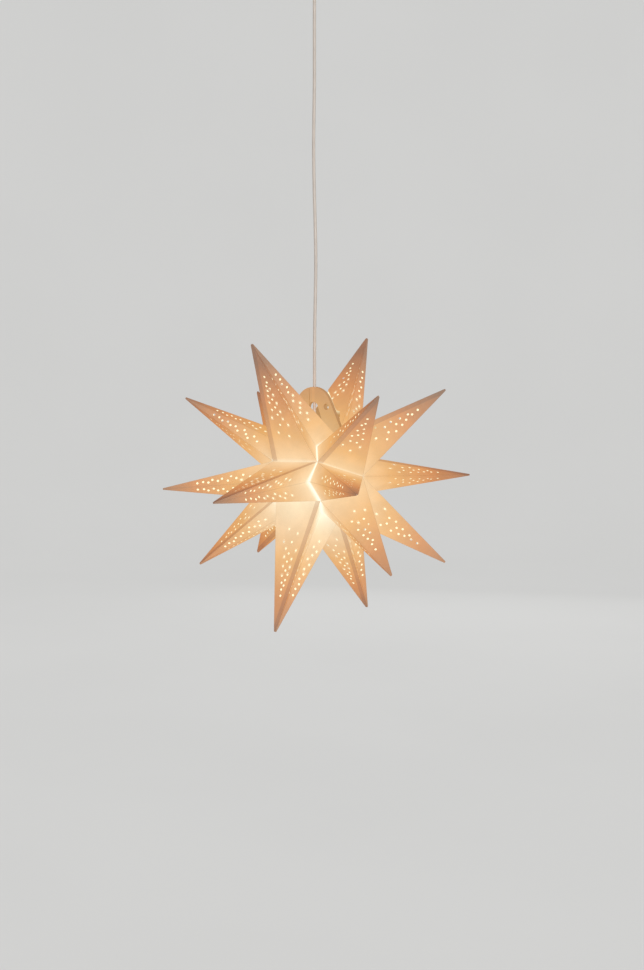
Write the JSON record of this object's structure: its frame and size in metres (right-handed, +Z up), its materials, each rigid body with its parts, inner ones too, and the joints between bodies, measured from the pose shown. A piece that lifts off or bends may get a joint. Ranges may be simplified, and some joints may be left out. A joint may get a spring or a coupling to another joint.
{
  "type": "moravian star pendant",
  "caption": "Paper star pendant lamp: hollow perforated points round a small lamp, hung by an upright tab from a straight cord and a ceiling cup.",
  "frame": {"origin": "middle of the ceiling fitting's face on the ceiling", "axes": "+Z up into the ceiling, the cord hangs down -Z; -Y is the front, which the flat of the tab and the star's front points face; +X is to the right seen from the front"},
  "size_m": [0.3519, 0.4792, 0.9501],
  "materials": {
    "star_paper": "matt translucent white paper, lit from inside",
    "white_plastic": "smooth white plastic",
    "grey_plastic": "smooth light grey heat-resistant plastic",
    "cord_jacket": "smooth white cord jacket",
    "core_jacket": "insulated cores",
    "zinc_steel": "zinc-plated steel",
    "brass": "plain brass",
    "nickel": "nickel plate",
    "black_glass": "black insulator",
    "clear_glass": "clear glass",
    "filament": "warm LED filament coat"
  },
  "bodies": {
    "ceiling_fitting": {"ceiling_bracket": "zinc_steel", "cord_hanger": "white_plastic", "hanger_pin": "zinc_steel", "hanger_screw": "zinc_steel", "terminal_block": "white_plastic", "terminal_block_screws": "zinc_steel", "ceiling_cores": "core_jacket", "cord": "cord_jacket"},
    "canopy_cup": {"canopy": "white_plastic", "canopy_bush": "white_plastic", "canopy_nut": "white_plastic", "canopy_grub_screw": "white_plastic"},
    "lampholder": {"holder_cap": "white_plastic", "cord_clamp_back": "grey_plastic", "cord_clamp_front": "grey_plastic", "cord_clamp_screws": "zinc_steel", "contact_carrier": "grey_plastic", "carrier_terminal_screws": "zinc_steel", "thread_sleeve": "brass", "centre_contact": "brass", "holder_shell": "white_plastic", "holder_cores": "core_jacket"},
    "bulb": {"bulb_cap": "nickel", "bulb_insulator": "black_glass", "bulb_contact": "zinc_steel", "bulb_glass": "clear_glass", "bulb_stem": "clear_glass", "led_filaments": "filament", "filament_leads": "zinc_steel"},
    "star": {"point_1_left": "star_paper", "point_1_middle": "star_paper", "point_1_right": "star_paper", "point_2_left": "star_paper", "point_2_middle": "star_paper", "point_2_right": "star_paper", "point_3_left": "star_paper", "point_3_middle": "star_paper", "point_3_right": "star_paper", "point_4_left": "star_paper", "point_4_middle": "star_paper", "point_4_right": "star_paper", "point_5_left": "star_paper", "point_5_middle": "star_paper", "point_5_right": "star_paper", "point_6_left": "star_paper", "point_6_middle": "star_paper", "point_6_right": "star_paper", "tab_front_sheet": "star_paper", "tab_back_sheet": "star_paper"}
  },
  "joints": [
    {"name": "canopy_slide", "type": "slide", "parent": "ceiling_fitting", "child": "canopy_cup", "axis": [0, 0, -1], "range_m": [0, 0.08]},
    {"name": "cord_twist", "type": "hinge", "parent": "ceiling_fitting", "child": "lampholder", "pos_m": [0, 0, -0.6], "axis": [0, 0, 1], "range_deg": [-180, 180]},
    {"name": "star_tilt", "type": "hinge", "parent": "lampholder", "child": "star", "pos_m": [0, 0, -0.70542], "axis": [0, 1, 0], "range_deg": [-5, 5]},
    {"name": "bulb_unscrew", "type": "slide", "parent": "lampholder", "child": "bulb", "axis": [0, 0, -1], "range_m": [0, 0.007]}
  ]
}
